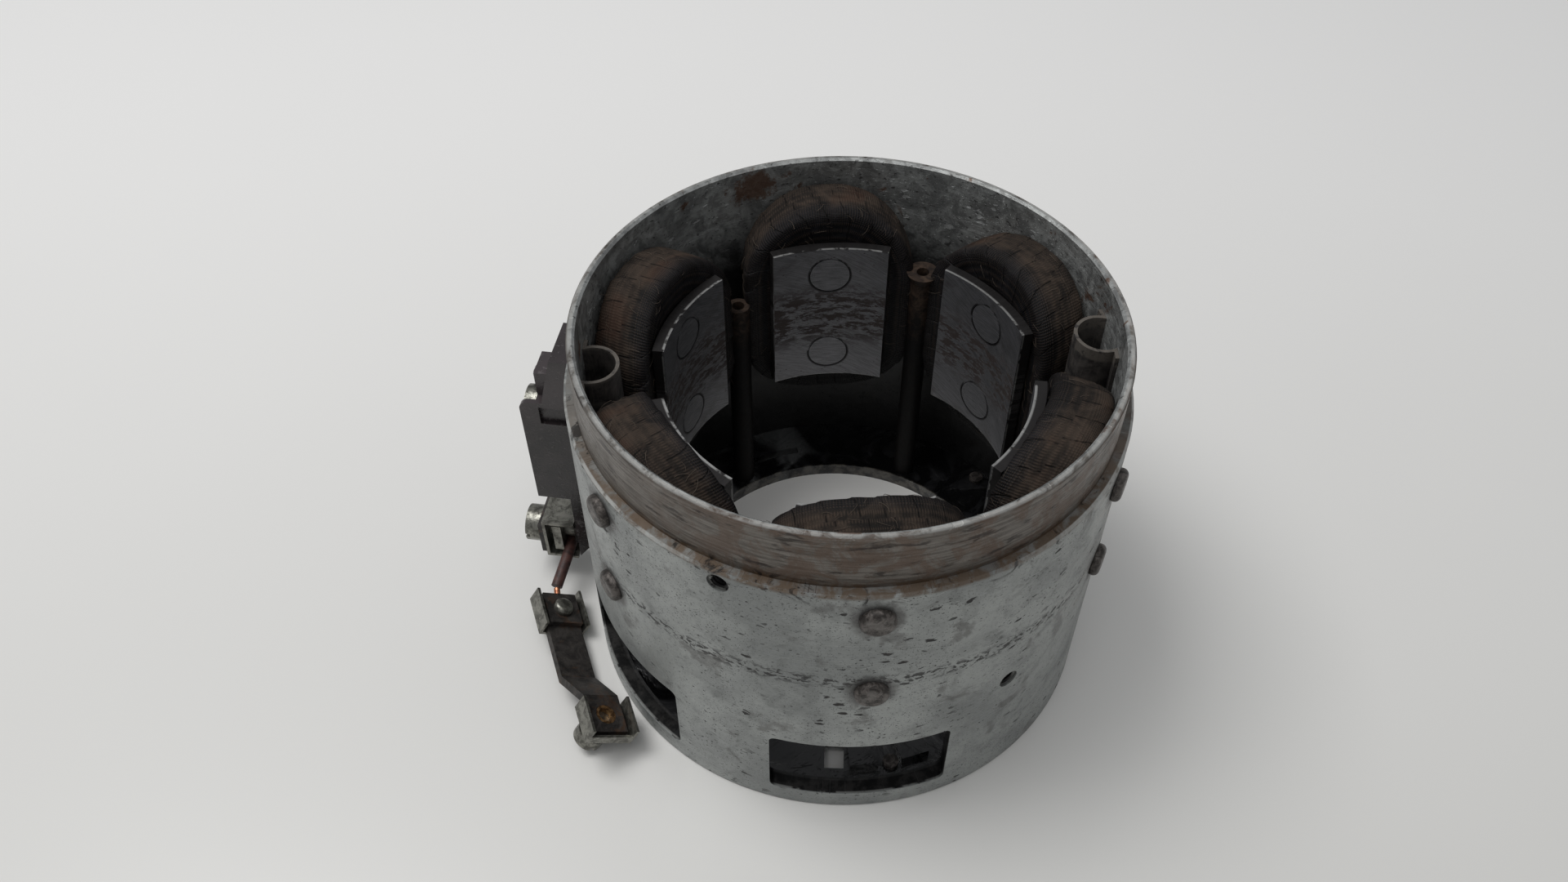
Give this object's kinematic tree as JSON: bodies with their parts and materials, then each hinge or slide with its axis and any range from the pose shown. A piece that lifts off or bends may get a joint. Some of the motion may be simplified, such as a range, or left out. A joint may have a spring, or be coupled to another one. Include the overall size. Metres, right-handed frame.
{
  "type": "six-pole field frame of a dynamo",
  "caption": "Steel field frame of a small dynamo, open at both ends, with riveted pole pieces, taped field coils, an end ring and a terminal block with its link bar.",
  "frame": {"origin": "centre of the bottom face of the tube", "axes": "+Z along the tube's axis, from the windows to the turned-down register; the terminal block is towards -X"},
  "size_m": [0.1622, 0.1442, 0.1089],
  "materials": {
    "yoke_steel": "worn, pitted",
    "pole_steel": "ground, spotted with rust",
    "rivet_steel": "dull",
    "oily_steel": "black and oily",
    "coil_tape": "varnished cotton tape",
    "pressboard": "varnished",
    "fibre_tube": "dull",
    "bakelite": "satin",
    "dark_steel": "dark, rusty",
    "plated_steel": "dull plating",
    "brass": "dull",
    "wire_cover": "dull",
    "copper": "tarnished"
  },
  "bodies": {
    "root": {"end_ring": "oily_steel", "field_coil_1": "coil_tape", "field_coil_2": "coil_tape", "field_coil_3": "coil_tape", "field_coil_4": "coil_tape", "field_coil_5": "coil_tape", "field_coil_6": "coil_tape", "lead": "wire_cover", "lead_strands": "copper", "left_bolt_tube": "fibre_tube", "left_insulation_strip": "pressboard", "link_bar": "dark_steel", "link_bush": "brass", "link_lower_saddle": "plated_steel", "link_lower_screw": "plated_steel", "link_top_plate": "dark_steel", "link_upper_saddle": "plated_steel", "link_upper_screw": "plated_steel", "lower_terminal_screw": "plated_steel", "pole_piece_1": "pole_steel", "pole_piece_2": "pole_steel", "pole_piece_3": "pole_steel", "pole_piece_4": "pole_steel", "pole_piece_5": "pole_steel", "pole_piece_6": "pole_steel", "pole_rivets": "rivet_steel", "right_bolt_tube": "fibre_tube", "right_insulation_strip": "pressboard", "ring_rivets": "rivet_steel", "terminal_block": "bakelite", "terminal_clamp_plate": "plated_steel", "terminal_saddle": "plated_steel", "terminal_spacer": "dark_steel", "terminal_washer": "dark_steel", "upper_terminal_screw": "plated_steel", "yoke": "yoke_steel"}
  },
  "joints": []
}
